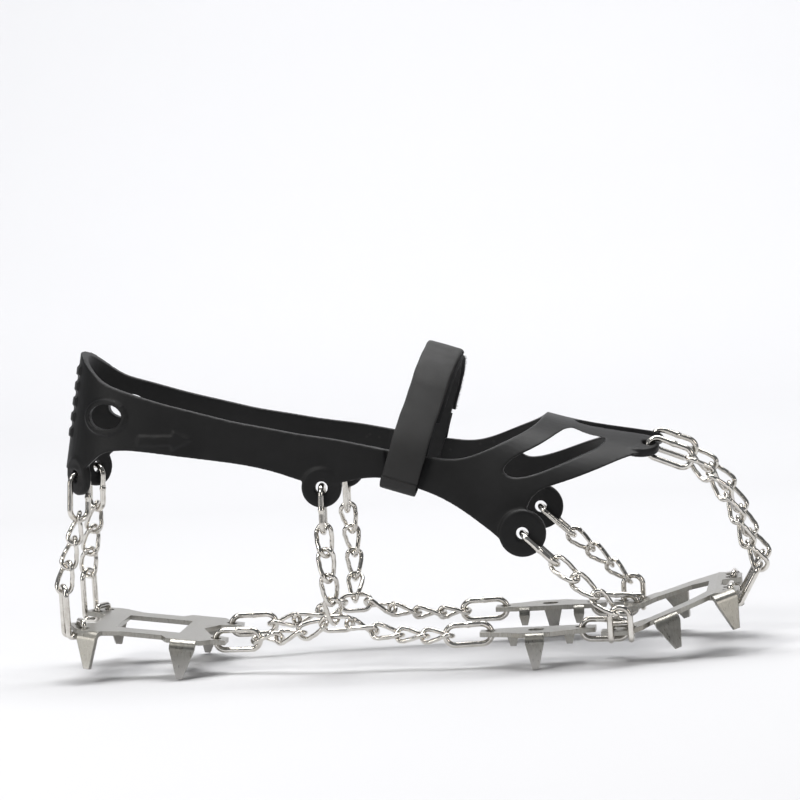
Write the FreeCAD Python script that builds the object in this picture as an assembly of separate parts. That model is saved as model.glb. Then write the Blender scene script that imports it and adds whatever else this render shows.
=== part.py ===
import FreeCAD, Part
import math
import os

V = FreeCAD.Vector

# Strap-on chain crampon, drawn as worn. +X points to the toe, +Z up, lengths in mm.
# The ground is z = 0, touched by the heel plate's front points and the ball plates' points.

# ---- driving dimensions -------------------------------------------------------------
WALL = 3.5              # moulded harness wall
BOSS_T = 4.0            # eyelet boss thickness at the hole
EYE_R = 2.7             # eyelet hole radius
PLATE_T = 2.0           # steel plate thickness
BEND_R = 2.0            # inside radius of the bent points
HOLE_R = 2.3            # plate holes for the hooked end links
SLOT_R = 2.3            # plate holes for the links that lie across an edge

LONG_WIRE = 1.25        # wire radius of the long links
LONG_LEN = 22.3
LONG_WID = 11.0
CURB_WIRE = 1.0         # wire radius of the curb links
CURB_LEN = 15.8
CURB_WID = 8.4
CURB_TWIST = 38.0       # each end of a curb link is turned this far about its length
GAP = 0.6               # play left between two hooked links
HOOK_BEND = 3.4         # centre line radius of the hook round the plate's edge
HEEL_REACH = 20.2       # height of each hooked end link above its plate
SIDE_REACH = 12.4
TOE_REACH = 17.8
TOE_LEAN = 30.0         # the toe end links lean this far forward

STRAP_W = 15.5
STRAP_LEAN = 19.0
BASE_T = 1.2
PILE_T = 0.8
FLAP_T = 1.2
TAPE_T = 0.5
LAYER_GAP = 0.3

SHIFT_X = -2.02          # moves the origin to the middle of the length
SIDES = {"near": -1, "far": 1}


# ---- small helpers ------------------------------------------------------------------
def spline(points):
    curve = Part.BSplineCurve()
    curve.interpolate([V(*p) for p in points])
    return curve.toShape()


def line(a, b):
    return Part.makeLine(V(*a), V(*b))


def prism_y(edges, half=90.0):
    """Solid swept across the full width from a closed outline in the XZ plane."""
    wire = Part.Wire(Part.__sortEdges__(edges))
    face = Part.Face(wire)
    face.translate(V(0, -half, 0))
    return face.extrude(V(0, 2 * half, 0))


def prism_z(points, low, high):
    wire = Part.makePolygon([V(x, y, low) for x, y in points + points[:1]])
    return Part.Face(wire).extrude(V(0, 0, high - low))


def frame_matrix(origin, xdir, ydir):
    """Placement matrix whose local X and Y follow the given directions."""
    ex = V(xdir).normalize()
    ez = ex.cross(V(ydir)).normalize()
    ey = ez.cross(ex)
    return FreeCAD.Matrix(ex.x, ey.x, ez.x, origin.x,
                          ex.y, ey.y, ez.y, origin.y,
                          ex.z, ey.z, ez.z, origin.z,
                          0, 0, 0, 1)


def place(shape, origin, xdir, ydir):
    out = shape.copy()
    out.Placement = FreeCAD.Placement(frame_matrix(origin, xdir, ydir))
    return out


def mirror(shape):
    return shape.mirror(V(0, 0, 0), V(0, 1, 0))


# ---- chain links --------------------------------------------------------------------
def tube(points, radius):
    """Round wire along a closed line of points, lofted in two halves and joined."""
    count = len(points)
    knots = [V(*p) for p in points]
    rings = []
    side = V(0, 0, 1)
    for i in range(count):
        tangent = (knots[(i + 1) % count] - knots[i - 1]).normalize()
        side = (side - tangent * side.dot(tangent)).normalize()
        ring = Part.Wire(Part.makeCircle(radius))
        rings.append(place(ring, knots[i], side, tangent.cross(side)))
    first = rings[:count // 2 + 1]
    second = rings[count // 2:] + rings[:1]
    return Part.makeLoft(first, True).fuse(Part.makeLoft(second, True))


def rod(start, end, radius):
    return Part.makeCylinder(radius, (end - start).Length, start, end - start)


def bent_rod(centre, axis, start, heading, degrees, radius):
    """Round wire turned about a centre, beginning at start and setting off along heading."""
    disc = Part.Face(Part.Wire(Part.makeCircle(radius, start, heading)))
    return disc.revolve(centre, axis, degrees)


def oval(length, width, wire, straight=4, bow=10):
    """Centre line of a straight-sided oval link, as (along, across) pairs."""
    rad = width / 2 - wire
    half = length / 2 - wire - rad
    pts = []
    for end in (1, -1):
        for i in range(bow):
            a = math.radians(-90 + 180 * i / bow)
            pts.append((end * (half + rad * math.cos(a)), end * rad * math.sin(a)))
        for i in range(straight):
            pts.append((end * half * (1 - 2 * i / straight), end * rad))
    return pts


def make_curb():
    pts = []
    reach = CURB_LEN / 2 - CURB_WIRE
    for u, v in oval(CURB_LEN, CURB_WID, CURB_WIRE):
        turn = math.radians(CURB_TWIST) * max(-1.0, min(1.0, 1.25 * u / reach))
        pts.append((u, v * math.cos(turn), v * math.sin(turn)))
    return tube(pts, CURB_WIRE)


def make_flat(length, width, wire):
    """Flat oval link: two straight legs joined by two half rings."""
    rad = width / 2 - wire
    half = length / 2 - wire - rad
    solid = None
    for end in (-1, 1):
        bow = Part.makeTorus(rad, wire, V(end * half, 0, 0), V(0, 0, 1))
        keep = Part.makeBox(length, 2 * width, 4 * wire)
        keep.translate(V(end * half - (length if end < 0 else 0), -width, -2 * wire))
        bow = bow.common(keep)
        leg = Part.makeCylinder(wire, 2 * half, V(-half, end * rad, 0), V(1, 0, 0))
        for piece in (bow, leg):
            solid = piece if solid is None else solid.fuse(piece)
    return solid.removeSplitter()


def make_hook(reach):
    """End link bent round a plate's edge, its closed end lying over the bar between
    two holes. Local x is outboard from the holes, y along the edge, z up the plate's normal."""
    half = LONG_WID / 2 - LONG_WIRE
    lap = PLATE_T / 2 + LONG_WIRE + 0.9
    corner = 1.7
    turn = -(PLATE_T / 2 + LONG_WIRE + 0.5) + corner
    top = reach - LONG_WIRE - half
    far = 2 * HOOK_BEND
    solid = rod(V(0, corner - half, lap), V(0, half - corner, lap), LONG_WIRE)
    crown = bent_rod(V(far, 0, top), V(1, 0, 0), V(far, half, top), V(0, 0, 1), 180, LONG_WIRE)
    pieces = [crown]
    for s in (-1, 1):
        y = s * half
        pieces += [
            bent_rod(V(0, y - s * corner, lap - corner), V(1, 0, 0), V(0, y - s * corner, lap), V(0, s, 0),
                     -90 * s, LONG_WIRE),
            rod(V(0, y, turn), V(0, y, lap - corner), LONG_WIRE),
            bent_rod(V(corner, y, turn), V(0, 1, 0), V(0, y, turn), V(0, 0, -1), -90, LONG_WIRE),
            rod(V(corner, y, turn - corner), V(far - corner, y, turn - corner), LONG_WIRE),
            bent_rod(V(far - corner, y, turn), V(0, 1, 0), V(far - corner, y, turn - corner), V(1, 0, 0),
                     -90, LONG_WIRE),
            rod(V(far, y, turn), V(far, y, top), LONG_WIRE)]
    for piece in pieces:
        solid = solid.fuse(piece)
    return solid.removeSplitter()


LONG_PITCH = LONG_LEN - 4 * LONG_WIRE - GAP
CURB_PITCH = CURB_LEN - 4 * CURB_WIRE - GAP
CURB = make_curb()
LONG = make_flat(LONG_LEN, LONG_WID, LONG_WIRE)
JOINER = make_flat(CURB_LEN, CURB_WID + 1.2, CURB_WIRE)


def hook_top(x, y, z, reach, tilt=0.0):
    """Point inside a hooked link's free end where the next link bears, for a pull tilted towards -x."""
    half = LONG_WID / 2 - LONG_WIRE
    inner = half - LONG_WIRE - GAP / 2
    a = math.radians(tilt)
    return (x - inner * math.sin(a), y, z + reach - LONG_WIRE - half + inner * math.cos(a))


def lay(stations, kinds, faces):
    """Place one link between each pair of stations; faces are each link's plane normals."""
    out = []
    for a, b, kind, face in zip(stations, stations[1:], kinds, faces):
        start, end = V(*a), V(*b)
        axis = end - start
        across = V(*face).cross(axis)
        out.append(place(kind, (start + end) / 2, axis, across))
    return out


def walk(start, ways, pitches):
    """Stations at the given pitches along a line of way points, each on a straight chord."""
    curve = Part.BSplineCurve()
    curve.interpolate([V(*start)] + [V(*w) for w in ways])
    edge = curve.toShape()
    total = edge.Length
    scale = total / sum(pitches)
    out = [start]
    run = 0.0
    for p in pitches:
        run += p * scale
        point = curve.value(curve.parameterAtDistance(min(run, total)))
        out.append((point.x, point.y, point.z))
    return out


# ---- harness ------------------------------------------------------------------------
REAR_Z = 95.0
REAR_PLAN = [(-147.0, 0.0), (-144.6, 12.0), (-138.6, 22.0), (-129.0, 29.3), (-113.0, 33.8),
             (-90.0, 35.3), (-60.0, 36.6), (-30.0, 38.6), (-10.0, 40.2), (6.0, 42.0)]
FORE_STATIONS = [(-16, 41.6, 58, 150), (0, 43.6, 57, 139), (20, 46.2, 55, 127), (40, 49, 51, 113),
                 (60, 50.5, 50, 104), (80, 50, 48, 98), (100, 46.5, 45, 94), (120, 39, 42, 89),
                 (140, 26, 40, 78)]
ROUND = 2.3             # how square the forefoot section is (2 is an ellipse)

TOP_EDGE = [(-152, 142), (-143, 141.6), (-138, 140.5), (-134, 137), (-129, 131.5), (-124, 127.5),
            (-117, 124.5), (-97, 117.5), (-81, 112.8), (-68, 109), (-53, 105.6), (-40, 102.6),
            (-26, 100), (-13, 97), (-1, 94), (10, 91.4), (19, 89.8), (26, 89), (34, 90), (42, 92.6),
            (51, 96), (58, 99), (63, 103), (66, 108), (68, 114)]
LOW_EDGE = [(-152, 90.5), (-142, 90.5), (-134.5, 92), (-128, 96.8), (-121, 98.8), (-111, 98.4),
            (-96, 96), (-78, 93),
            (-62, 90), (-47, 85.6), (-38, 82.4), (-24, 81.2), (-17, 82.2), (-5, 82.6), (2, 80.6),
            (12, 77), (20, 73.4), (29, 67.8), (37, 61.6), (43, 56.5), (48, 51)]
TOE_EDGE = [(56, 62), (57, 69), (60, 73), (69, 76.6), (81, 79.8), (90, 82.6), (101, 85.6), (108, 86)]
WINDOW = [(47, 84), (50, 87.2), (57, 90.4), (64, 93.4), (69, 96), (73, 97.4), (79, 95.6), (86, 93.4),
          (89, 92), (87, 90), (82, 88), (70, 84), (60, 81), (53, 80), (48.6, 81.2)]
SLOT = [(75, 0), (77, 5), (82, 7.5), (96, 8.6), (112, 9.2), (150, 9.2)]
OVAL = (-124.2, 113.4, 7.6, 5.4)
ARROW = [(-110, 100.9), (-95, 100.5), (-95, 98.3), (-86, 102.4), (-94, 106.2), (-94.3, 104.2),
         (-109.4, 104.8)]
RIBS = [(104.5 + 6.6 * i, 3.4) for i in range(5)]

HEEL_EYE = V(-139.2, 18.6, 88.0)
HEEL_FACE = V(-0.80, 0.60, 0)
ARCH_EYE = V(-31.0, 38.3, 79.6)
FORE_EYE = V(54.0, 48.4, 57.2)
TOE_EYE = V(107.0, 18.0, 88.4)
TOE_TILT = 17.0
TOE_BACK = 4.0          # toe bosses are centred this far behind their holes
TOE_FACE = V(0.12, math.sin(math.radians(TOE_TILT)), math.cos(math.radians(TOE_TILT)))


def rear_section(z, inset):
    """Closed plan outline of the heel cup at one height."""
    rise = z - REAR_Z
    half = []
    for i, (x, y) in enumerate(REAR_PLAN):
        back = max(0.0, (-x - 100) / 47.0)
        px = x + 0.2 * rise * back + inset * back
        lean = 0.12 * rise + inset
        py = max(0.0, y - lean * min(1.0, y / 30.0))
        half.append((px, py, z))
    ring = [(x, -y, q) for x, y, q in reversed(half[1:])] + half
    return Part.Wire([spline(ring), line(ring[-1], ring[0])])


def rear_solid(inset):
    return Part.makeLoft([rear_section(z, inset) for z in (72, 95, 120, 148)], True)


def fore_section(x, wide, base, top, inset):
    pts = []
    for i in range(13):
        a = math.pi * i / 12
        c, s = math.cos(a), math.sin(a)
        y = -math.copysign(abs(c) ** (2 / ROUND), c) * (wide - inset)
        z = base + abs(s) ** (2 / ROUND) * (top - base - inset)
        pts.append((x, y, z))
    low = base - 18
    corners = [(x, pts[-1][1], low), (x, pts[0][1], low)]
    return Part.Wire([spline(pts), line(pts[-1], corners[0]), line(*corners), line(corners[1], pts[0])])


def fore_solid(inset):
    return Part.makeLoft([fore_section(*s, inset) for s in FORE_STATIONS], True)


def skin(solid, low, high, inset=0.0):
    """Wall of even thickness between two x planes."""
    slab = Part.makeBox(high - low, 200, 200, V(low, -100, 0))
    return solid(-inset).cut(solid(WALL)).common(slab)


def boss(centre, face, radius, thick):
    face = V(face).normalize()
    disc = Part.makeCylinder(radius, thick, centre - face * (thick / 2), face)
    rims = [e for e in disc.Edges if abs(e.Length - 2 * math.pi * radius) < 0.1]
    return disc.makeFillet(1.1, rims)


def eyelet(centre, face):
    face = V(face).normalize()
    return Part.makeCylinder(EYE_R, 14.0, centre - face * 7.0, face)


def make_harness():
    top = spline([(x, 0, z) for x, z in TOP_EDGE])
    low = spline([(x, 0, z) for x, z in LOW_EDGE])
    toe = spline([(x, 0, z) for x, z in TOE_EDGE])
    outline = prism_y([top, low, toe,
                       line((TOP_EDGE[0][0], 0, TOP_EDGE[0][1]), (LOW_EDGE[0][0], 0, LOW_EDGE[0][1])),
                       line((LOW_EDGE[-1][0], 0, LOW_EDGE[-1][1]), (TOE_EDGE[0][0], 0, TOE_EDGE[0][1])),
                       line((TOE_EDGE[-1][0], 0, TOE_EDGE[-1][1]), (108, 0, 114)),
                       line((108, 0, 114), (TOP_EDGE[-1][0], 0, TOP_EDGE[-1][1]))])
    body = skin(rear_solid, -160, -3).fuse(skin(fore_solid, -9, 150)).common(outline)

    loop = [(x, 0, z) for x, z in WINDOW]
    window = Part.BSplineCurve()
    window.interpolate([V(*p) for p in loop], PeriodicFlag=True)
    body = body.cut(prism_y([window.toShape()]))
    slot = SLOT + [(x, -y) for x, y in reversed(SLOT) if y]
    body = body.cut(prism_z(slot, 60, 130))

    cx, cz, rx, rz = OVAL
    hole = Part.Ellipse(V(cx, 0, cz), rx, rz).toShape()
    hole.rotate(V(cx, 0, cz), V(1, 0, 0), 90)
    rim = Part.Ellipse(V(cx, 0, cz), rx + 2.2, rz + 2.2).toShape()
    rim.rotate(V(cx, 0, cz), V(1, 0, 0), 90)
    body = body.cut(prism_y([hole]))

    raised = skin(rear_solid, -160, -60, 0.9)
    ribs = None
    for z, tall in RIBS:
        slab = Part.makeBox(30, 26, tall, V(-160, -13, z))
        ribs = slab if ribs is None else ribs.fuse(slab)
    marks = [ribs, prism_y([rim]).cut(prism_y([hole]))]
    for mark in marks:
        body = body.fuse(raised.common(mark))
    arrow = [(x, 0, z) for x, z in ARROW]
    edges = [line(a, b) for a, b in zip(arrow, arrow[1:] + arrow[:1])]
    body = body.fuse(skin(rear_solid, -160, -60, 0.6).common(prism_y(edges)))

    eyes = ((HEEL_EYE, HEEL_FACE, 8.6, 0), (ARCH_EYE, V(0, 1, 0), 8.6, 0), (FORE_EYE, V(0, 1, 0), 10.0, 0),
            (TOE_EYE, TOE_FACE, 8.6, TOE_BACK))
    for eye, face, radius, back in eyes:
        disc = boss(eye - V(back, 0, 0), face, radius, BOSS_T)
        body = body.fuse(disc).fuse(mirror(disc))
    for eye, face, radius, back in eyes:
        hole = eyelet(eye, face)
        body = body.cut(hole).cut(mirror(hole))
    return body.removeSplitter()


# ---- plates -------------------------------------------------------------------------
def tooth(root, out, wide, tip, drop, splay=4.0, skew=0.0):
    """Pointed tab bent down at a plate's edge. root is on the plate's top face at the edge."""
    ang = math.radians(90 - splay)
    outer, inner = BEND_R + PLATE_T, BEND_R
    reach = (drop - outer + inner * math.cos(ang)) / math.sin(ang)
    dy, dz = math.cos(ang), -math.sin(ang)

    def arc_point(r, a):
        return V(0, r * math.sin(a), -outer + r * math.cos(a))

    o0, o1 = arc_point(outer, 0), arc_point(outer, ang)
    i0, i1 = arc_point(inner, 0), arc_point(inner, ang)
    om, im = arc_point(outer, ang / 2), arc_point(inner, ang / 2)
    oe = o1 + V(0, dy, dz) * reach
    ie = i1 + V(0, dy, dz) * reach
    back_o, back_i = V(0, -3, 0), V(0, -3, -PLATE_T)
    edges = [Part.makeLine(back_o, o0), Part.Arc(o0, om, o1).toShape(), Part.makeLine(o1, oe),
             Part.makeLine(oe, ie), Part.makeLine(ie, i1), Part.Arc(i1, im, i0).toShape(),
             Part.makeLine(i0, back_i), Part.makeLine(back_i, back_o)]
    face = Part.Face(Part.Wire(Part.__sortEdges__(edges)))
    face.translate(V(-wide / 2, 0, 0))
    bar = face.extrude(V(wide, 0, 0))
    outline = [(-wide / 2, 1), (wide / 2, 1), (wide / 2, -outer), (tip / 2 + skew, -drop - 1),
               (-tip / 2 + skew, -drop - 1), (-wide / 2, -outer)]
    cut = Part.Face(Part.makePolygon([V(x, -10, z) for x, z in outline + outline[:1]])).extrude(V(0, 30, 0))
    bar = bar.common(cut)
    across = V(out).cross(V(0, 0, 1))
    return place(bar, V(*root), across, V(out))


def round_hole(x, y, radius):
    return Part.makeCylinder(radius, 60, V(x, y, -10), V(0, 0, 1))


def pair_holes(x, y, along):
    """Two holes either side of a point, for the legs of a hooked end link."""
    half = LONG_WID / 2 - LONG_WIRE
    ax, ay = along
    return [round_hole(x + s * half * ax, y + s * half * ay, HOLE_R) for s in (-1, 1)]


HEEL_TOP = 19.4         # plate's top face at its middle
HEEL_MID = -115.0
HEEL_SLOPE = 8.0
HEEL_HOOK = (-141.6, 24.0)
HEEL_TURN = 25.0        # the heel end links face this far outboard of straight back
HEEL_LINK = (-83.2, 22.0)
MID_TOP = 15.0
MID_LINK_BACK = (36.8, 37.0)
MID_LINK_FRONT = (75.2, 37.0)
FRONT_TOP = 14.0
FRONT_BEND_X = 96.0
FRONT_SLOPE = 18.5
FRONT_LINK = (95.4, 36.0)
FRONT_SIDE_HOOK = (92.8, 43.4)
FRONT_TOE_HOOK = (137.4, 20.0)
FRONT_LIP_X = 132.0
# each: x and y at the edge, turn about Z, root and tip widths, depth, forward pitch
FRONT_TEETH = [(110.5, 40.6, 16, 10.6, 1.9, 14.8, FRONT_SLOPE), (134.6, 30.8, 30, 10.2, 1.9, 16.4, 14.0)]


def make_heel_plate():
    half = [(-147.4, 17), (-148.2, 19.8), (-142.8, 31.8), (-140, 33.5), (-137, 34), (-134, 34),
            (-124, 28), (-106, 28), (-103, 34),
            (-88, 34), (-84.6, 28.4), (-78.4, 27), (-78.4, 17), (-87, 14), (-92, 0)]
    rear = [(-138, 0), (-138, 12)]
    outline = rear[1:] + half + [(x, -y) for x, y in reversed(half[:-1])] + [(-138, -12)]
    window = prism_z([(-128, -17), (-100, -17), (-100, 17), (-128, 17)], 0, 60)
    solid = prism_z(outline, HEEL_TOP - PLATE_T, HEEL_TOP).cut(window)
    turn = math.radians(24)
    for s in (-1, 1):
        solid = solid.fuse(tooth((-136.0, s * 31.5, HEEL_TOP), V(-math.sin(turn), s * math.cos(turn), 0),
                                 9.6, 2.2, 16.4, skew=2.0 * s))
        solid = solid.fuse(tooth((-95.5, s * 33.0, HEEL_TOP), V(0, s, 0), 11.0, 1.8, 16.66))
    for s in (-1, 1):
        turn = math.radians(HEEL_TURN)
        for hole in pair_holes(HEEL_HOOK[0], s * HEEL_HOOK[1], (math.sin(turn), s * math.cos(turn))):
            solid = solid.cut(hole)
        solid = solid.cut(round_hole(HEEL_LINK[0], s * HEEL_LINK[1], SLOT_R))
    solid = solid.removeSplitter()
    solid.rotate(V(HEEL_MID, 0, HEEL_TOP), V(0, 1, 0), HEEL_SLOPE)
    return solid


def make_mid_plate(side):
    outline = [(32.6, 33), (32.6, 41), (44, 45), (50, 49), (63, 49), (70, 45), (81.6, 41), (81.6, 33),
               (74, 31),
               (44, 31)]
    outline = [(x, side * y) for x, y in outline]
    solid = prism_z(outline, MID_TOP - PLATE_T, MID_TOP)
    solid = solid.fuse(tooth((56.5, side * 48, MID_TOP), V(0, side, 0), 8.0, 2.2, 15.0))
    for x in (45.6, 69.6):
        solid = solid.fuse(tooth((x, side * 32.5, MID_TOP), V(0, -side, 0), 4.6, 2.0, 8.0, 2.0))
    for (x, y), radius in ((MID_LINK_BACK, SLOT_R), (MID_LINK_FRONT, SLOT_R), ((56.5, 39.5), 3.4)):
        solid = solid.cut(round_hole(x, side * y, radius))
    return solid.removeSplitter()


def make_front_plate():
    half = [(89, 24), (89, 39.6), (84.4, 39.6), (84.4, 48), (102, 48), (105, 44), (118, 40.5), (127, 36),
            (130, 33.5), (140, 31),
            (142, 27), (142, 13), (134, 8), (134, 0)]
    outline = half + [(x, -y) for x, y in reversed(half[:-1])]
    window = [(96, 28), (104, 31), (120, 25), (128, 16), (128, -16), (120, -25), (104, -31), (96, -28)]
    gap = [(80, -22), (100, -22), (100, 22), (80, 22)]
    flat = Part.makeBox(FRONT_BEND_X - 80, 120, PLATE_T, V(80, -60, FRONT_TOP - PLATE_T))
    drop = V(0, 0, -PLATE_T)
    start = V(FRONT_BEND_X, -60, FRONT_TOP)
    lip = V(FRONT_LIP_X, -60, on_front(FRONT_LIP_X, PLATE_T / 2))
    end = lip + V(20, 0, 0)
    ramp = Part.Face(Part.makePolygon([start, lip, end, end + drop, lip + drop, start + drop, start]))
    sheet = flat.fuse(ramp.extrude(V(0, 120, 0))).common(prism_z(outline, 0, 60))
    for cut in (prism_z(window, 0, 60), prism_z(gap, 0, 60)):
        sheet = sheet.cut(cut)
    for s in (-1, 1):
        for x, y, turn, wide, tip, tall, pitch in FRONT_TEETH:
            z = on_front(x, PLATE_T / 2)
            a = math.radians(turn)
            piece = tooth((x, s * y, z), V(math.sin(a), s * math.cos(a), 0), wide, tip, tall)
            piece.rotate(V(x, s * y, z), V(0, 1, 0), -pitch)
            sheet = sheet.fuse(piece)
    for s in (-1, 1):
        holes = pair_holes(FRONT_SIDE_HOOK[0], s * FRONT_SIDE_HOOK[1], (1, 0))
        holes += pair_holes(FRONT_TOE_HOOK[0], s * FRONT_TOE_HOOK[1], (0, 1))
        holes.append(round_hole(FRONT_LINK[0], s * FRONT_LINK[1], SLOT_R))
        for hole in holes:
            sheet = sheet.cut(hole)
    return sheet.removeSplitter()


def on_heel(x, lift=0.0):
    """Height of the sloping heel plate's middle surface at x."""
    return HEEL_TOP - PLATE_T / 2 + lift - (x - HEEL_MID) * math.tan(math.radians(HEEL_SLOPE))


def on_front(x, lift=0.0):
    run = max(0.0, min(x, FRONT_LIP_X) - FRONT_BEND_X)
    return FRONT_TOP - PLATE_T / 2 + lift + run * math.tan(math.radians(FRONT_SLOPE))


# ---- instep strap -------------------------------------------------------------------
STRAP_FOOT = V(2.6, 0, 80.0)
INNER_LINE = [(-34.6, 81), (-34.6, 89), (-33.8, 98), (-31.4, 108.5), (-26.4, 119), (-18.4, 127.2),
              (-9, 131.8), (0, 133.2)]
FOLD_LINE = [(-34.6, 81), (-34.9, 79), (-36.8, 77.2), (-39.9, 76.5), (-43, 77.2), (-44.9, 79),
             (-45.3, 81.4)]
RISE_LINE = [(-45.4, 81.9), (-45.5, 88), (-44.4, 96), (-40.2, 104.6)]


def ribbon(path, thick):
    """Strip of even thickness along a line in the YZ plane, running along X."""
    count = len(path)
    side = []
    for i, (y, z) in enumerate(path):
        y0, z0 = path[max(0, i - 1)]
        y1, z1 = path[min(count - 1, i + 1)]
        size = math.hypot(y1 - y0, z1 - z0)
        side.append((y - thick * (z1 - z0) / size, z + thick * (y1 - y0) / size))
    inner = spline([(0, y, z) for y, z in path])
    outer = spline([(0, y, z) for y, z in side])
    wire = Part.Wire([inner, line((0,) + path[-1], (0,) + side[-1]),
    outer, line((0,) + side[0], (0,) + path[0])])
    face = Part.Face(Part.Wire(Part.__sortEdges__(wire.Edges)))
    return face.extrude(V(STRAP_W, 0, 0))


def offset_path(path, gap):
    count = len(path)
    out = []
    for i, (y, z) in enumerate(path):
        y0, z0 = path[max(0, i - 1)]
        y1, z1 = path[min(count - 1, i + 1)]
        size = math.hypot(y1 - y0, z1 - z0)
        out.append((y - gap * (z1 - z0) / size, z + gap * (y1 - y0) / size))
    return out


def lean(shape):
    shape.translate(V(STRAP_FOOT.x - STRAP_W / 2, 0, 0))
    shape.rotate(STRAP_FOOT, V(0, 1, 0), STRAP_LEAN)
    return shape


def whole(path):
    return path + [(-y, z) for y, z in reversed(path[:-1])]


def make_strap():
    base_line = whole(INNER_LINE)
    base = ribbon(base_line, BASE_T)
    pile_line = offset_path(base_line, BASE_T + LAYER_GAP)
    pile = ribbon([p for p in pile_line if p[1] > 107], PILE_T)
    fold = ribbon(FOLD_LINE, -BASE_T)
    base = base.fuse(fold).fuse(mirror(fold))
    outer = offset_path(base_line, BASE_T + PILE_T + TAPE_T + 3 * LAYER_GAP)
    flap = ribbon(RISE_LINE + [p for p in outer if -29 < p[0] < 12], FLAP_T)
    tape_line = offset_path(base_line, BASE_T + PILE_T + 2 * LAYER_GAP)
    tape = ribbon([p for p in tape_line if -29 < p[0] < 12], TAPE_T)
    tail = mirror(ribbon(RISE_LINE, BASE_T))
    return {"strap_base": base, "strap_loop_pile": pile, "strap_flap": flap, "strap_hook_tape": tape,
            "strap_sewn_tail": tail}


# ---- chain runs ---------------------------------------------------------------------
# The runs are drawn on the far side and mirrored. Each list holds the links' plane normals in turn.
HEEL_FACES = [(0.6, 0.8, 0), (-0.64, 0.71, 0.28), (-0.42, 0.85, 0.32), (-0.22, 0.92, 0.33)]
ARCH_FACES = [(1, 0, 0), (0.29, 0.91, 0.28), (0.45, 0.89, 0.08), (0.45, 0.85, -0.26), (0.51, 0.71, -0.49)]
FORE_FACES = [(0.7, 0, 0.7), (0.25, 0.89, 0.37), (0.38, 0.8, 0.47), (0.54, 0.66, 0.52)]
TOE_FACES = [(-0.06, 1, 0.02), (0.48, -0.75, 0.46), (0.59, -0.69, 0.42), (0.76, -0.57, 0.31),
             (-0.73, 0.63, -0.27),
             (-0.64, 0.67, -0.37)]
REAR_FACES = [(0, 1, 0), (0, -0.27, 0.96), (-0.27, 0.34, 0.9), (-0.33, 0.83, 0.44)]
JOIN_BACK = (-34.8, 31.6, 20.2)
JOIN_FRONT = (-23.6, 31.6, 20.2)
JOIN_FACES = [(0, 0.86, -0.51)]
FRONT_FACES = [(0.33, 0.01, 0.94), (0.11, 0.56, 0.82), (0, 0.4, 0.92), (-0.08, 0.4, 0.91), (0, 1, 0)]


def heel_run():
    """Eyelet link, three curb links and a hooked end link on the heel plate."""
    hx, hy = HEEL_HOOK
    turn = math.radians(HEEL_TURN)
    out = V(-math.cos(turn), math.sin(turn), 0)
    end = place(make_hook(HEEL_REACH), V(hx, hy, on_heel(hx)), out, V(-out.y, out.x, 0))
    bearing = hook_top(hx + 2 * HOOK_BEND * out.x, hy + 2 * HOOK_BEND * out.y, on_heel(hx), HEEL_REACH)
    st = walk((HEEL_EYE.x, HEEL_EYE.y, HEEL_EYE.z - 1.2), [(-140.3, 19.6, 70.2), (-144.6, 22.6, 54),
    bearing],
              [LONG_PITCH] + [CURB_PITCH] * 3)
    links = lay(st, [LONG] + [CURB] * 3, HEEL_FACES)
    return {"heel_eyelet_link": links[:1], "heel_chain": links[1:], "heel_end_link": [end]}


def arch_run():
    """Eyelet link and four curb links, caught on the sole run's joining link."""
    st = walk((ARCH_EYE.x, ARCH_EYE.y, ARCH_EYE.z - 1.2),
              [(-31.2, 39.2, 61.8), (-30.6, 42.2, 51), (-30, 42.4, 40), (-29.6, 39.2, 31),
              (-29.2, 32.9, 22.3)],
              [LONG_PITCH] + [CURB_PITCH] * 4)
    links = lay(st, [LONG] + [CURB] * 4, ARCH_FACES)
    return {"arch_eyelet_link": links[:1], "arch_chain": links[1:]}


def fore_run():
    """Eyelet link, three curb links and a hooked end link on the front plate's side."""
    hx, hy = FRONT_SIDE_HOOK
    st = walk((FORE_EYE.x + 1.0, FORE_EYE.y, FORE_EYE.z - 1.0),
              [(66.6, 49.2, 45), (78, 50.2, 34.6), (86.2, 50.4, 27),
               hook_top(hx, hy + 2 * HOOK_BEND, on_front(hx),
               SIDE_REACH, 40)], [LONG_PITCH] + [CURB_PITCH] * 3)
    links = lay(st, [LONG] + [CURB] * 3, FORE_FACES)
    end = place(make_hook(SIDE_REACH), V(hx, hy, on_front(hx)), V(0, 1, 0), V(-1, 0, 0))
    return {"fore_eyelet_link": links[:1], "fore_chain": links[1:], "fore_end_link": [end]}


TOE_LAST_BEND = (147.2, 20.6, 44.5)


def toe_run():
    """Eyelet link, curb links over the toe and a hooked end link on the front plate."""
    hx, hy = FRONT_TOE_HOOK
    tilt = math.radians(TOE_LEAN)
    out = V(math.cos(tilt), 0, -math.sin(tilt))
    foot = V(hx, hy, on_front(hx))
    end = place(make_hook(TOE_REACH), foot, out, V(0, 1, 0))
    bar = foot + out * (2 * HOOK_BEND) + V(math.sin(tilt), 0, math.cos(tilt)) * (TOE_REACH - LONG_WIRE)
    pull = (V(*TOE_LAST_BEND) - bar).normalize()
    top = bar - pull * (LONG_WIRE + GAP / 2)
    st = walk((TOE_EYE.x + 1.2, TOE_EYE.y, TOE_EYE.z - 0.3),
              [(123.4, 19.0, 81.8), (133.4, 20.2, 73.2), (140.4, 20.8, 63.5), (144.2, 21, 53.5),
              TOE_LAST_BEND,
               (top.x, top.y, top.z)],
              [LONG_PITCH] + [CURB_PITCH] * 5)
    links = lay(st, [LONG] + [CURB] * 5, TOE_FACES)
    return {"toe_eyelet_link": links[:1], "toe_chain": links[1:], "toe_end_link": [end]}


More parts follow.
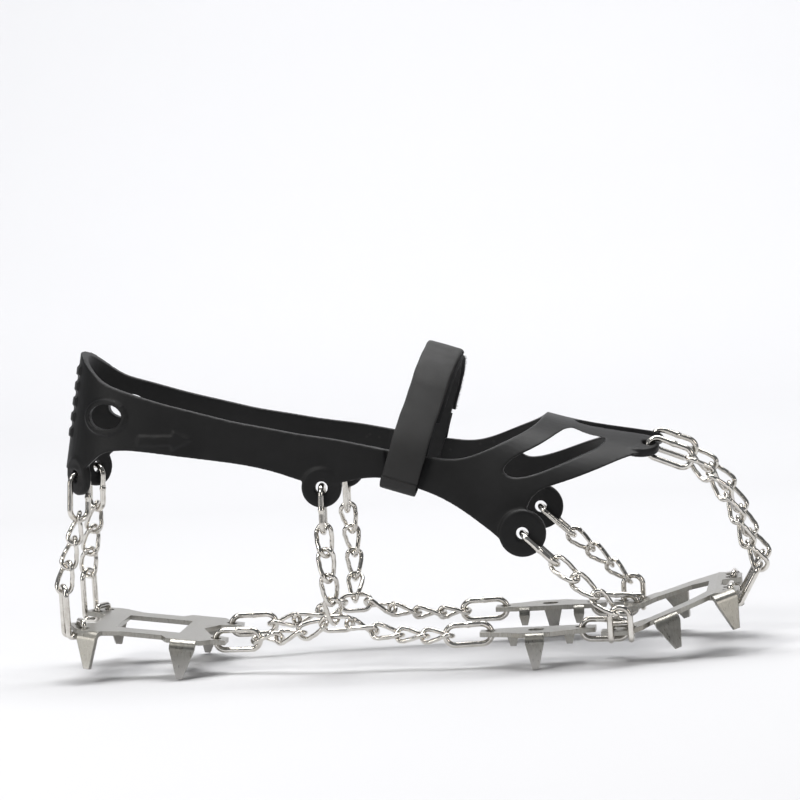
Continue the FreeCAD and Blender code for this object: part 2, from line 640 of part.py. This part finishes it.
def sole_run():
    """Chain under the sole, with a joining link that the arch run pulls outboard."""
    hx, hy = HEEL_LINK
    rear = walk((hx + 1.1, hy, on_heel(hx)), [(-68.0, 22.8, 13.8), (-50, 28, 15.4), JOIN_BACK],
                [LONG_PITCH] + [CURB_PITCH] * 3)
    back = lay(rear, [LONG] + [CURB] * 3, REAR_FACES)
    joining = lay([JOIN_BACK, JOIN_FRONT], [JOINER], JOIN_FACES)
    hx, hy = MID_LINK_BACK
    fore = walk(JOIN_FRONT, [(-11, 32.4, 16), (10, 35, 13.6), (hx - 17.6, hy, 13.6),
    (hx - 1.1, hy, MID_TOP - 1)],
                [CURB_PITCH] * 4 + [LONG_PITCH])
    front = lay(fore, [CURB] * 4 + [LONG], FRONT_FACES)
    plate = lay([(*MID_LINK_FRONT, MID_TOP - PLATE_T / 2), (*FRONT_LINK, FRONT_TOP - PLATE_T / 2)], [LONG],
                [(0, 1, 0)])
    return {"sole_rear_link": back[:1], "sole_rear_chain": back[1:], "sole_joining_link": joining,
            "sole_front_chain": front[:-1], "sole_front_link": front[-1:], "plate_link": plate}


def build_runs():
    nodes = {}
    for run in (heel_run, arch_run, fore_run, toe_run, sole_run):
        for name, links in run().items():
            nodes[name + "_far"] = links
            nodes[name + "_near"] = [mirror(link) for link in links]
    return nodes


def build_all():
    nodes = {"harness": [make_harness()], "heel_plate": [make_heel_plate()],
    "front_plate": [make_front_plate()]}
    for name, s in SIDES.items():
        nodes["ball_plate_" + name] = [make_mid_plate(s)]
    for name, shape in make_strap().items():
        nodes[name] = [lean(shape)]
    nodes.update(build_runs())
    return nodes


def main():
    os.makedirs("parts", exist_ok=True)
    for name, solids in build_all().items():
        pieces = []
        for solid in solids:
            pieces += solid.Solids
        shape = pieces[0] if len(pieces) == 1 else Part.makeCompound(pieces)
        shape.translate(V(SHIFT_X, 0, 0))
        shape.exportStep("parts/" + name + ".step")
        box = shape.BoundBox
        print(name, len(pieces), all(p.isValid() for p in pieces), round(sum(p.Volume for p in pieces), 1),
              [round(v, 1) for v in (box.XMin, box.YMin, box.ZMin, box.XMax, box.YMax, box.ZMax)])


main()
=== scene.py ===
import math
import random

import bmesh
import bpy
import numpy as np
from mathutils import Matrix, Vector


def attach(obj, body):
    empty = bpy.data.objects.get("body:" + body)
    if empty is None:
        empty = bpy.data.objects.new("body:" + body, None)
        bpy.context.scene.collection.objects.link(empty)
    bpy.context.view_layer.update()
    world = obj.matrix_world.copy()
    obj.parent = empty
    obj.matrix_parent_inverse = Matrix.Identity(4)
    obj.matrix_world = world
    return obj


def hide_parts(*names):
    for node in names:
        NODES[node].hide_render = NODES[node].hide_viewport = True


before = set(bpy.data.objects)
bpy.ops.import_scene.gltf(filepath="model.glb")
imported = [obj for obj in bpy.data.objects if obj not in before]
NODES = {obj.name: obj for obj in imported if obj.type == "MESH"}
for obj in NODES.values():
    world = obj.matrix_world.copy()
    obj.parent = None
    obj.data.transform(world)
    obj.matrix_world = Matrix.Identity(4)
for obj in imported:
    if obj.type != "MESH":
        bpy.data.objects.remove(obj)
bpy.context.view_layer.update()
ROOT = "harness_and_plates"
SIDES = ("near", "far")
MM = 0.001
SHIFT_X = -2.02          # the part is drawn about this point on the X axis, mm
rng = random.Random(7)


# ---- shader helpers -------------------------------------------------------------------
class Shader:
    """A Principled material built up from procedural layers."""

    def __init__(self, name, colour, metallic=0.0, rough=0.5):
        self.mat = bpy.data.materials.new(name)
        self.mat.use_nodes = True
        self.nodes = self.mat.node_tree.nodes
        self.links = self.mat.node_tree.links
        self.bsdf = self.nodes["Principled BSDF"]
        self.bsdf.inputs["Base Color"].default_value = (*colour, 1)
        self.bsdf.inputs["Metallic"].default_value = metallic
        self.bsdf.inputs["Roughness"].default_value = rough
        self.normal = None

    def node(self, kind, **values):
        made = self.nodes.new(kind)
        for key, value in values.items():
            if key in made.inputs:
                made.inputs[key].default_value = value
            else:
                setattr(made, key, value)
        return made

    def coords(self, scale=(1, 1, 1), output="Object"):
        place = self.node("ShaderNodeMapping")
        place.inputs["Scale"].default_value = scale
        self.links.new(self.node("ShaderNodeTexCoord").outputs[output], place.inputs["Vector"])
        return place.outputs["Vector"]

    def noise(self, scale, detail=3.0, rough=0.6, vector=None):
        made = self.node("ShaderNodeTexNoise", Scale=scale, Detail=detail, Roughness=rough)
        self.links.new(vector or self.coords(), made.inputs["Vector"])
        return made.outputs["Fac"]

    def remap(self, value, low, high, out_low, out_high):
        made = self.node("ShaderNodeMapRange")
        limits = {"From Min": low, "From Max": high, "To Min": out_low, "To Max": out_high}
        for name, number in limits.items():
            made.inputs[name].default_value = number
        self.links.new(value, made.inputs["Value"])
        return made.outputs["Result"]

    def math(self, kind, a, b):
        made = self.node("ShaderNodeMath", operation=kind)
        for socket, value in zip(made.inputs, (a, b)):
            if isinstance(value, (int, float)):
                socket.default_value = value
            else:
                self.links.new(value, socket)
        return made.outputs["Value"]

    def ramp(self, value, stops):
        made = self.node("ShaderNodeValToRGB")
        bar = made.color_ramp.elements
        while len(bar) < len(stops):
            bar.new(0.5)
        for element, (place, colour) in zip(bar, stops):
            element.position = place
            element.color = (*colour, 1)
        self.links.new(value, made.inputs["Fac"])
        return made.outputs["Color"]

    def blend(self, mask, a, b, kind="MIX"):
        made = self.node("ShaderNodeMix", data_type="RGBA", blend_type=kind)
        colours = [s for s in made.inputs if s.type == "RGBA"]
        if isinstance(mask, (int, float)):
            made.inputs["Factor"].default_value = mask
        else:
            self.links.new(mask, made.inputs["Factor"])
        for socket, value in zip(colours, (a, b)):
            if isinstance(value, tuple):
                socket.default_value = (*value, 1)
            else:
                self.links.new(value, socket)
        return [s for s in made.outputs if s.type == "RGBA"][0]

    def colour(self, output):
        self.links.new(output, self.bsdf.inputs["Base Color"])

    def roughness(self, output):
        self.links.new(output, self.bsdf.inputs["Roughness"])

    def bump(self, height, strength, distance):
        made = self.node("ShaderNodeBump", Strength=strength, Distance=distance)
        self.links.new(height, made.inputs["Height"])
        if self.normal:
            self.links.new(self.normal, made.inputs["Normal"])
        self.normal = made.outputs["Normal"]
        self.links.new(self.normal, self.bsdf.inputs["Normal"])

    def height(self):
        """Height above the ground."""
        parts = self.node("ShaderNodeSeparateXYZ")
        self.links.new(self.coords(), parts.inputs["Vector"])
        return parts.outputs["Z"]

    def soften(self, radius):
        """Round the look of hard sheet-metal edges."""
        made = self.node("ShaderNodeBevel", samples=6)
        made.inputs["Radius"].default_value = radius
        self.normal = made.outputs["Normal"]
        self.links.new(self.normal, self.bsdf.inputs["Normal"])


def elastomer():
    s = Shader("moulded_elastomer", (0.018, 0.018, 0.02))
    cloud = s.noise(55, 4)
    grain = s.noise(2600, 2)
    dust = s.remap(s.noise(900, 5, 0.75), 0.62, 0.78, 0.0, 1.0)
    black = s.ramp(cloud, [(0.3, (0.0085, 0.0085, 0.0087)), (0.7, (0.0125, 0.0125, 0.0128))])
    # painted highlight: the black is painted lighter along sharp rounded edges, picked out by pointiness
    edge = s.remap(s.node("ShaderNodeNewGeometry").outputs["Pointiness"], 0.52, 0.60, 0.0, 0.5)
    edge_highlit = s.blend(edge, black, (0.026, 0.025, 0.024))
    s.colour(s.blend(s.math("MULTIPLY", dust, 0.3), edge_highlit, (0.022, 0.022, 0.022)))
    s.roughness(s.remap(s.math("ADD", cloud, grain), 0.6, 1.4, 0.40, 0.56))
    s.bsdf.inputs["Specular IOR Level"].default_value = 0.22
    s.bump(grain, 0.25, 0.00012)
    s.bump(s.noise(180, 3), 0.12, 0.0004)
    return s.mat


def chain_steel():
    s = Shader("polished_chain_steel", (0.74, 0.71, 0.66), 1.0, 0.2)
    cloud = s.noise(260, 3)
    fine = s.noise(4200, 3, 0.7)
    greys = [(0.3, (0.56, 0.53, 0.48)), (0.5, (0.68, 0.655, 0.61)), (0.75, (0.78, 0.755, 0.71))]
    s.colour(s.ramp(cloud, greys))
    s.roughness(s.remap(fine, 0.3, 0.75, 0.13, 0.22))
    s.bump(s.noise(520, 2), 0.10, 0.00006)
    s.bump(fine, 0.05, 0.00002)
    return s.mat


def plate_steel():
    s = Shader("brushed_plate_steel", (0.6, 0.59, 0.57), 1.0, 0.3)
    s.soften(0.00035)
    along = s.noise(1.0, 4, 0.7, s.coords((900, 5200, 240)))
    across = s.noise(1.0, 4, 0.7, s.coords((4200, 600, 300)))
    streak = s.math("MULTIPLY", s.math("ADD", along, across), 0.5)
    cloud = s.noise(90, 4)
    # painted highlight: the steel is painted lighter towards the ground, giving the tooth tips a pale
    # lit look
    low = s.remap(s.height(), 0.010, 0.002, 0.0, 1.0)
    greys = [(0.3, (0.26, 0.25, 0.225)), (0.55, (0.37, 0.36, 0.33)), (0.75, (0.47, 0.455, 0.425))]
    steel = s.ramp(streak, greys)
    stain = s.blend(s.remap(cloud, 0.55, 0.8, 0.0, 0.35), steel, (0.34, 0.29, 0.22))
    s.colour(s.blend(s.math("MULTIPLY", low, 0.55), stain, (0.72, 0.70, 0.68)))
    s.roughness(s.remap(streak, 0.3, 0.7, 0.22, 0.42))
    s.bump(streak, 0.25, 0.00008)
    s.bump(s.noise(260, 3), 0.15, 0.0003)
    return s.mat


def webbing(name, dark, light, rough, thread=1.0, sheen=0.0):
    """Woven tape: UV is in millimetres, across then along."""
    s = Shader(name, dark, 0.0, rough)
    uv = s.coords(output="UV")
    warp = s.node("ShaderNodeTexWave", bands_direction="X", Scale=1.15 * thread, Distortion=0.6)
    weft = s.node("ShaderNodeTexWave", bands_direction="Y", Scale=1.6 * thread, Distortion=0.8)
    for wave in (warp, weft):
        wave.inputs["Detail Scale"].default_value = 2.0
        s.links.new(uv, wave.inputs["Vector"])
    cloth = s.math("MULTIPLY", warp.outputs["Fac"], weft.outputs["Fac"])
    cloud = s.noise(0.16, 4, 0.6, uv)
    mixed = s.math("ADD", s.math("MULTIPLY", cloth, 0.45), s.math("MULTIPLY", cloud, 0.7))
    s.colour(s.ramp(mixed, [(0.2, dark), (0.75, light)]))
    s.roughness(s.remap(cloud, 0.3, 0.7, rough - 0.08, rough + 0.08))
    s.bump(cloth, 0.5, 0.0001)
    s.bump(s.noise(3.0, 3, 0.6, uv), 0.2, 0.0001)
    if sheen:
        s.bsdf.inputs["Sheen Weight"].default_value = sheen
        s.bsdf.inputs["Sheen Roughness"].default_value = 0.4
    return s.mat


def plain_floor():
    """Painted shade: pale in a corridor behind the object, painted darker towards the front and the
    sides.
    """
    s = Shader("studio_floor", (0.9, 0.91, 0.93), 0.0, 0.95)
    s.bsdf.inputs["Specular IOR Level"].default_value = 0.0
    parts = s.node("ShaderNodeSeparateXYZ")
    s.links.new(s.coords(), parts.inputs["Vector"])
    # painted shade: mask of the front and the sides, where the floor is painted darker
    front = s.remap(parts.outputs["Y"], -0.42, -1.2, 0.0, 1.0)
    aside = s.remap(s.math("ABSOLUTE", parts.outputs["X"], 0.0), 0.8, 1.4, 0.0, 1.0)
    far = s.math("MAXIMUM", front, aside)
    # painted light and shade: the tone dips just behind the object and brightens up the backdrop with
    # depth
    depth = s.remap(parts.outputs["Y"], -0.4, 2.0, 0.0, 1.0)
    greys = ((0.0, 0.70), (0.25, 0.625), (0.42, 0.615), (0.62, 0.70), (0.8, 0.79), (1.0, 0.84))
    depth_shaded_grey = s.ramp(depth, [(place, (grey, grey, grey * 1.02)) for place, grey in greys])
    mottled_shaded_grey = s.blend(s.remap(s.noise(3, 2), 0.3, 0.7, 0.0, 0.02), depth_shaded_grey, (0.5, 0.5, 0.5))
    s.colour(s.blend(far, mottled_shaded_grey, (0.40, 0.405, 0.41)))
    return s.mat


STEEL_CHAIN = chain_steel()
STEEL_PLATE = plate_steel()
ELASTOMER = elastomer()
STRAP_FACE = webbing("strap_face_fabric", (0.0055, 0.0053, 0.0052), (0.014, 0.0135, 0.013), 0.6)
STRAP_BACK = webbing("strap_back_fabric", (0.004, 0.004, 0.0045), (0.012, 0.012, 0.013), 0.9, sheen=0.15)
THREAD = webbing("strap_thread", (0.012, 0.012, 0.013), (0.035, 0.035, 0.037), 0.6, 3.0)


# ---- mesh helpers ---------------------------------------------------------------------
def add(name, verts, faces, material, uvs=None):
    """New smooth-shaded mesh object in the scene."""
    mesh = bpy.data.meshes.new(name)
    mesh.from_pydata([tuple(v) for v in verts], [], faces)
    if uvs is not None:
        layer = mesh.uv_layers.new(name="UVMap")
        for loop in mesh.loops:
            layer.data[loop.index].uv = uvs[loop.vertex_index]
    mesh.polygons.foreach_set("use_smooth", [True] * len(mesh.polygons))
    mesh.materials.append(material)
    obj = bpy.data.objects.new(name, mesh)
    bpy.context.scene.collection.objects.link(obj)
    return obj


def skin(rings, corners, first=0):
    """Four-sided faces between successive rings of points."""
    faces = []
    for i in range(rings - 1):
        for k in range(corners):
            a = first + i * corners + k
            b = first + i * corners + (k + 1) % corners
            faces.append((a, b, b + corners, a + corners))
    return faces


def apply_modifiers(obj):
    """Keep what the modifiers make as the object's own mesh."""
    graph = bpy.context.evaluated_depsgraph_get()
    baked = bpy.data.meshes.new_from_object(obj.evaluated_get(graph))
    obj.modifiers.clear()
    obj.data = baked


def moulded_copy(node, name, voxel, rounds, material):
    """Copy of a CAD solid with every edge rounded the way a mould leaves it."""
    mesh = NODES[node].data.copy()
    welded = bmesh.new()
    welded.from_mesh(mesh)
    bmesh.ops.remove_doubles(welded, verts=welded.verts, dist=1e-6)
    welded.to_mesh(mesh)
    welded.free()
    obj = bpy.data.objects.new(name, mesh)
    bpy.context.scene.collection.objects.link(obj)
    net = obj.modifiers.new("net", "REMESH")
    net.mode = "VOXEL"
    net.voxel_size = voxel
    net.use_smooth_shade = True
    soft = obj.modifiers.new("soft", "SMOOTH")
    soft.factor = 0.5
    soft.iterations = rounds
    apply_modifiers(obj)
    obj.data.materials.clear()
    obj.data.materials.append(material)
    obj.data.polygons.foreach_set("use_smooth", [True] * len(obj.data.polygons))
    return obj


def paint(node, material):
    """Give a CAD node a material in each of its slots."""
    for holder in NODES[node].material_slots:
        holder.material = material


# ---- harness --------------------------------------------------------------------------
MOULD_VOXEL = 0.5 * MM
MOULD_ROUNDS = 5
harness = moulded_copy("harness", "harness_moulding", MOULD_VOXEL, MOULD_ROUNDS, ELASTOMER)
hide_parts("harness")
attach(harness, ROOT)


# ---- instep strap ---------------------------------------------------------------------
STRAP_W = 15.5
STRAP_LEAN = math.radians(19.0)
STRAP_FOOT = np.array((2.6, 0.0, 80.0))
RIBBON_CORNERS = 20
STITCH_PITCH = 1.9
STITCH_HALF = 0.72
STITCH_RINGS = 9
STITCH_CORNERS = 6
STITCH_SPAN = 13.0
TIP_ROW = 2.5            # the stitched row is this far from the flap's tip
BASE_T, PILE_T, TAPE_T, FLAP_T, LAYER_GAP = 1.2, 0.8, 0.5, 1.2, 0.3
PILE_SHIFT = 1.3          # the brushed layer shows past the flap's front edge
INNER_LINE = [(-34.6, 81), (-34.6, 89), (-33.8, 98), (-31.4, 108.5), (-26.4, 119), (-18.4, 127.2),
              (-9, 131.8), (0, 133.2)]
FOLD_LINE = [(-34.6, 81), (-34.9, 79), (-36.8, 77.2), (-40.4, 76.2), (-44, 76.7), (-46.1, 78.6),
             (-46.6, 81.8)]
RISE_LINE = [(-45.4, 81.9), (-45.5, 88), (-44.4, 96), (-40.2, 104.6)]


def resample(path, step=0.7):
    """Even points on a smooth curve through a line of points."""
    pts = np.array(path, float)
    ends = np.vstack([2 * pts[0] - pts[1], pts, 2 * pts[-1] - pts[-2]])
    fine = []
    for i in range(len(pts) - 1):
        a, b, c, d = ends[i:i + 4]
        for t in np.linspace(0, 1, 24, endpoint=False):
            fine.append(0.5 * (2 * b + (c - a) * t + (2 * a - 5 * b + 4 * c - d) * t ** 2
                               + (3 * b - a - 3 * c + d) * t ** 3))
    fine = np.array(fine + [pts[-1]])
    run = np.concatenate([[0], np.cumsum(np.linalg.norm(np.diff(fine, axis=0), axis=1))])
    even = np.linspace(0, run[-1], max(8, int(run[-1] / step)))
    return np.column_stack([np.interp(even, run, fine[:, 0]), np.interp(even, run, fine[:, 1])]), even


def side_normals(line):
    """Unit normals of a line, on its left."""
    along = np.gradient(line, axis=0)
    along /= np.linalg.norm(along, axis=1)[:, None]
    return np.column_stack([-along[:, 1], along[:, 0]])


def lean(points):
    """Drawing millimetres to scene metres, with the strap's lean towards the toe."""
    rel = points - STRAP_FOOT
    c, s = math.cos(STRAP_LEAN), math.sin(STRAP_LEAN)
    turned = np.column_stack([c * rel[:, 0] + s * rel[:, 2], rel[:, 1], -s * rel[:, 0] + c * rel[:, 2]])
    out = turned + STRAP_FOOT
    out[:, 0] += SHIFT_X
    return out * MM


def ribbon(name, path, low, high, material, curl=0.25, shift=0.0):
    """Tape between two offsets of a line, with rounded selvedges that curl a little."""
    line, run = resample(path)
    normal = side_normals(line)
    corners = RIBBON_CORNERS
    verts, uvs = [], []
    thick = high - low
    for i, (point, out) in enumerate(zip(line, normal)):
        drift = shift + 0.12 * math.sin(run[i] * 0.21) + 0.06 * math.sin(run[i] * 0.57 + 1.3)
        ring = []
        for k in range(corners):
            a = 2 * math.pi * k / corners
            u = math.copysign(abs(math.cos(a)) ** 0.16, math.cos(a))
            w = math.copysign(abs(math.sin(a)) ** 0.55, math.sin(a))
            rise = low + thick / 2 + w * thick / 2 - curl * abs(u) ** 6
            y, z = point + out * rise
            ring.append((STRAP_FOOT[0] + u * STRAP_W / 2 + drift, y, z))
            uvs.append((u * STRAP_W / 2 + 10 + w * thick, run[i]))
        verts += ring
    faces = skin(len(line), corners)
    faces.append(tuple(range(corners))[::-1])
    faces.append(tuple(range((len(line) - 1) * corners, len(line) * corners)))
    return add(name, lean(np.array(verts)), faces, material, uvs)


def whole(path):
    """The line and its mirror image, joined at the middle."""
    return path + [(-y, z) for y, z in reversed(path[:-1])]


def part_of(path, low, high):
    """The points whose sideways place is between two limits."""
    line, _ = resample(path, 2.0)
    return [tuple(p) for p in line if low < p[0] < high]


def offset(path, gap):
    """The line moved sideways by a gap."""
    line, _ = resample(path, 2.0)
    return [tuple(p) for p in line + side_normals(line) * gap]


arch = whole(INNER_LINE)
tape_low = BASE_T + PILE_T + 2 * LAYER_GAP
flap_low = BASE_T + PILE_T + TAPE_T + 3 * LAYER_GAP
pile_path = [p for p in offset(arch, 0) if p[1] > 107]
flap_path = RISE_LINE + [p for p in offset(arch, flap_low) if -30 < p[0] < 12]
tape_path = part_of(arch, -29, 12)

base = ribbon("strap_base_webbing", arch, 0.0, BASE_T, STRAP_BACK)
fold_near = ribbon("strap_fold_near", FOLD_LINE, -BASE_T, 0.0, STRAP_FACE, curl=0.0)
fold_far = ribbon("strap_fold_far", [(-y, z) for y, z in FOLD_LINE], 0.0, BASE_T, STRAP_FACE, curl=0.0)
pile = ribbon("strap_loop_layer", pile_path, BASE_T + LAYER_GAP, BASE_T + LAYER_GAP + PILE_T, STRAP_BACK,
              shift=PILE_SHIFT)
tape = ribbon("strap_hook_layer", tape_path, tape_low, tape_low + TAPE_T, STRAP_BACK)
flap = ribbon("strap_flap_webbing", flap_path, 0.0, FLAP_T, STRAP_FACE)
tail = ribbon("strap_tail_webbing", [(-y, z) for y, z in RISE_LINE], -BASE_T, 0.0, STRAP_FACE)
STRAP_PIECES = [
    (base, ["strap_base"], ROOT, "webbing"),
    (fold_near, [], ROOT, "webbing"),
    (fold_far, [], ROOT, "webbing"),
    (pile, ["strap_loop_pile"], ROOT, "loop_pile"),
    (tape, ["strap_hook_tape"], "strap_flap", "hook_tape"),
    (flap, ["strap_flap"], "strap_flap", "webbing"),
    (tail, ["strap_sewn_tail"], ROOT, "webbing"),
]
for piece, nodes, body, finish in STRAP_PIECES:
    if nodes:
        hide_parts(*nodes)
    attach(piece, body)


FIBRE_HALF = 0.045      # half a fibre's width at its foot, mm


def fuzz(name, path, low, high, count, length, body, shift=0.0):
    """Short loose fibres along both edges of a brushed tape."""
    line, run = resample(path)
    normal = side_normals(line)
    verts, faces, uvs = [], [], []
    for _ in range(count):
        i = rng.randrange(1, len(line) - 1)
        edge = rng.choice((-1, 1))
        y, z = line[i] + normal[i] * rng.uniform(low, high)
        foot = np.array((STRAP_FOOT[0] + shift + edge * (STRAP_W / 2 - rng.uniform(0.0, 0.5)), y, z))
        size = length * rng.uniform(0.4, 1.0)
        out = normal[i] * rng.uniform(-0.7, 0.7)
        tip = foot + np.array((edge * size, out[0] * size, out[1] * size))
        side = np.array((0.0, *(line[i] - line[i - 1])))
        side *= FIBRE_HALF / np.linalg.norm(side)
        bend = (foot + tip) / 2 + side * rng.uniform(-6, 6)
        first = len(verts)
        verts += [foot - side, foot + side, bend + side * 0.7, bend - side * 0.7, tip]
        uvs += [(0, 0), (0.1, 0), (0.1, 0.5), (0, 0.5), (0.05, 1)]
        faces += [(first, first + 1, first + 2, first + 3), (first + 3, first + 2, first + 4)]
    obj = add(name, lean(np.array(verts)), faces, STRAP_BACK, uvs)
    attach(obj, body)
    return obj


fuzz("strap_pile_fibres", pile_path, BASE_T + LAYER_GAP, BASE_T + LAYER_GAP + PILE_T, 2600, 0.9, ROOT,
     PILE_SHIFT)
fuzz("strap_base_fibres", arch, 0.1, BASE_T, 1200, 0.5, ROOT)


def stitches(name, path, lift, rows, span, body):
    """Rows of machine stitches across a tape: short rounded bars."""
    line, run = resample(path, 0.35)
    normal = side_normals(line)
    verts, faces, uvs = [], [], []
    for row in rows:
        i = int(np.argmin(abs(run - row)))
        along = line[i] - line[i - 1]
        along /= np.linalg.norm(along)
        count = int(span / STITCH_PITCH)
        for k in range(count):
            mid = (k - (count - 1) / 2) * STITCH_PITCH
            first = len(verts)
            for a in range(STITCH_RINGS):
                t = a / (STITCH_RINGS - 1) * 2 - 1
                bow = math.sqrt(max(0.0, 1 - t * t)) * 0.22
                for b in range(STITCH_CORNERS):
                    ang = 2 * math.pi * b / STITCH_CORNERS
                    w = 0.16 * math.cos(ang)
                    h = lift + bow * 0.6 + 0.12 * math.sin(ang)
                    y, z = line[i] + normal[i] * h + along * w
                    verts.append((STRAP_FOOT[0] + mid + t * STITCH_HALF, y, z))
                    uvs.append((a, b))
            faces += skin(STITCH_RINGS, STITCH_CORNERS, first)
    obj = add(name, lean(np.array(verts)), faces, THREAD, uvs)
    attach(obj, body)
    return obj


flap_length = resample(flap_path)[1][-1]
stitches("strap_tip_stitches", flap_path, FLAP_T, (flap_length - TIP_ROW,), STITCH_SPAN, "strap_flap")


# ---- chains and plates ----------------------------------------------------------------
def principal_axes(obj):
    """Middle, long, wide and thin axes of a link, and its reach along each."""
    co = np.array([v.co for v in obj.data.vertices])
    mid = co.mean(0)
    spread = co - mid
    _, axes = np.linalg.eigh(spread.T @ spread)
    thin, wide, long_way = axes.T
    reach = [abs((co - mid) @ axis).max() for axis in (long_way, wide, thin)]
    return mid, (long_way, wide, thin), reach


WELD_MESH = (22, 28)     # rings and corners
WELD_HALF = 2.2          # half the seam's length, mm
WELD_SWELL = 0.26        # height of the bead at its middle, mm
WELD_SINK = 0.015        # the bead's ends go this far into the wire, mm


def weld(node, body):
    """Welded seam at the middle of one leg of a long link."""
    mid, (along, wide, thin), (_, half, wire) = principal_axes(NODES[node])
    side = 1 if wide[2] + 0.3 * wide[0] > 0 else -1
    centre = mid + wide * side * (half - wire)
    rings, corners = WELD_MESH
    verts = []
    for i in range(rings):
        t = (i / (rings - 1) * 2 - 1) * WELD_HALF
        swell = WELD_SWELL * math.exp(-(t / 0.85) ** 2) + 0.05 * math.exp(-((abs(t) - 1.3) / 0.3) ** 2)
        for k in range(corners):
            a = 2 * math.pi * k / corners
            lump = 0.05 * math.sin(3 * a + t * 2.1) + 0.03 * math.sin(7 * a - t * 4)
            radius = wire + (swell * (1 + lump * 3) - WELD_SINK) * MM
            verts.append(centre + along * t * MM + (wide * math.cos(a) + thin * math.sin(a)) * radius)
    bead = add(node + "_weld", verts, skin(rings, corners), STEEL_CHAIN)
    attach(bead, body)


WELDED = {
    "heel_eyelet_link": "heel_run",
    "arch_eyelet_link": "arch_run",
    "fore_eyelet_link": "fore_run",
    "toe_eyelet_link": "toe_run",
    "sole_rear_link": "sole_rear_run",
    "sole_front_link": "sole_front_run",
    "plate_link": "plate_link",
}
for name in NODES:
    if "link" in name or "chain" in name:
        paint(name, STEEL_CHAIN)
    elif "plate" in name:
        paint(name, STEEL_PLATE)
for side in SIDES:
    for link, body in WELDED.items():
        weld(f"{link}_{side}", f"{body}_{side}")


# ---- studio ---------------------------------------------------------------------------
FLOOR_DROP = 0.0004      # keeps the floor just under the points


def studio_floor():
    """Floor that curves up into a backdrop."""
    verts, faces = [], []
    bend, radius = 1.2, 0.8
    profile = [(-4.0, 0.0), (bend, 0.0)]
    for a in np.linspace(0.1, math.pi / 2, 14):
        profile.append((bend + radius * math.sin(a), radius - radius * math.cos(a)))
    profile.append((bend + radius, 4.0))
    for y, z in profile:
        verts += [(-5, y, z - FLOOR_DROP), (5, y, z - FLOOR_DROP)]
    for i in range(len(profile) - 1):
        faces.append((2 * i, 2 * i + 1, 2 * i + 3, 2 * i + 2))
    floor = add("floor", verts, faces, plain_floor())


def softbox(name, place, aim, size, power, colour=(1, 1, 1)):
    """Rectangular area light, turned to face a point."""
    data = bpy.data.lights.new(name, "AREA")
    data.shape = "RECTANGLE"
    data.size, data.size_y = size
    data.energy = power
    data.color = colour
    obj = bpy.data.objects.new(name, data)
    obj.location = place
    obj.rotation_euler = (Vector(aim) - Vector(place)).to_track_quat("-Z", "Y").to_euler()
    bpy.context.scene.collection.objects.link(obj)


studio_floor()
softbox("key", (-0.7, -0.9, 1.2), (0, 0, 0.06), (0.5, 0.35), 9, (1.0, 0.985, 0.96))
softbox("fill", (1.2, -1.0, 0.6), (0, 0, 0.06), (0.25, 0.6), 3, (1.0, 0.96, 0.91))
softbox("side", (-1.1, -0.75, 0.35), (-0.1, 0, 0.08), (0.3, 0.5), 2.2, (1.0, 0.98, 0.95))
softbox("top", (0.1, 0.35, 1.5), (0, 0.1, 0.0), (1.2, 0.8), 17)
softbox("wash", (-0.25, 0.5, 2.4), (-0.25, 1.7, 0.6), (2.8, 1.0), 43)

world = bpy.data.worlds.new("studio")
world.use_nodes = True
world.node_tree.nodes["Background"].inputs["Color"].default_value = (0.86, 0.9, 0.96, 1)
world.node_tree.nodes["Background"].inputs["Strength"].default_value = 0.16
scene = bpy.context.scene
scene.world = world
scene.view_settings.view_transform = "Standard"


CAMERA_ANGLES = (7.0, 4.75, 3.6)     # turn, rise and roll in degrees
CAMERA_TARGET = (SHIFT_X * MM, 0, 0.11175)
CAMERA_DISTANCE = 1.65


def set_camera():
    """Camera on the near side, a little above the part and rolled clockwise."""
    turn, rise, roll = (math.radians(a) for a in CAMERA_ANGLES)
    ahead = Vector((-math.sin(turn) * math.cos(rise), math.cos(turn) * math.cos(rise), -math.sin(rise)))
    right = Vector((math.cos(turn), math.sin(turn), 0))
    up = Vector((-math.sin(turn) * math.sin(rise), math.cos(turn) * math.sin(rise), math.cos(rise)))
    x = math.cos(roll) * right - math.sin(roll) * up
    y = math.sin(roll) * right + math.cos(roll) * up
    place = Vector(CAMERA_TARGET) - ahead * CAMERA_DISTANCE
    data = bpy.data.cameras.new("camera")
    data.lens = 171.9
    data.sensor_width = 36
    camera = bpy.data.objects.new("camera", data)
    matrix = Matrix((x, y, -ahead)).transposed().to_4x4()
    matrix.translation = place
    camera.matrix_world = matrix
    scene.collection.objects.link(camera)
    scene.camera = camera


set_camera()
